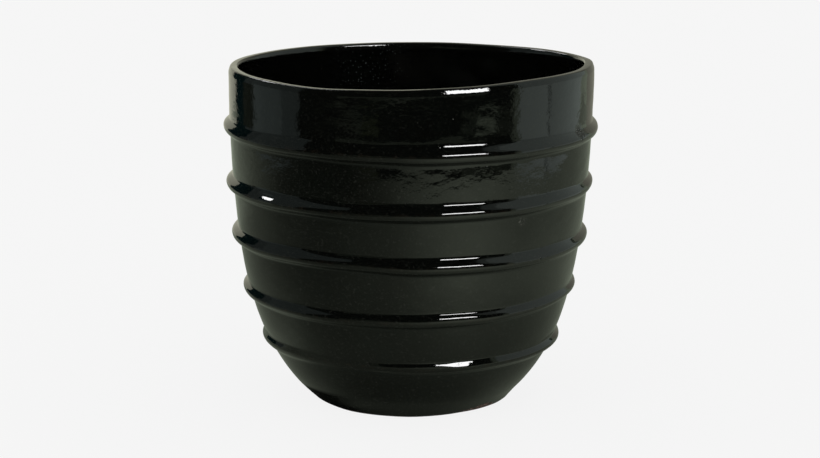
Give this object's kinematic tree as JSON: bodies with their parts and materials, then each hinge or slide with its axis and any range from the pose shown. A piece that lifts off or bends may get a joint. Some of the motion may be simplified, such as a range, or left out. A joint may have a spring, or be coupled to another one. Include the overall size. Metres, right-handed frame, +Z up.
{
  "type": "planter pot",
  "caption": "Large round clay planter, glazed glossy black, with raised coil bands round a tapering wall and a plain flat foot.",
  "frame": {"origin": "centre of the flat underside, on the surface the pot stands on", "axes": "+Z up along the pot's axis towards the open rim; +X and +Y are any two square directions, because the body is round; -Y faces the picture's camera"},
  "size_m": [0.4128, 0.4128, 0.3725],
  "materials": {
    "bare_fired_clay": "matt, unglazed underneath and at the foot's edge",
    "black_glaze": "glossy",
    "black_glaze_coils": "glossy"
  },
  "bodies": {
    "root": {"base_slab": "bare_fired_clay", "wall_section_1": "black_glaze", "wall_section_2": "black_glaze", "wall_section_3": "black_glaze", "wall_section_4": "black_glaze", "wall_section_5": "black_glaze", "collar_section": "black_glaze", "raised_coil_1": "black_glaze_coils", "raised_coil_2": "black_glaze_coils", "raised_coil_3": "black_glaze_coils", "raised_coil_4": "black_glaze_coils", "raised_coil_5": "black_glaze_coils"}
  },
  "joints": []
}
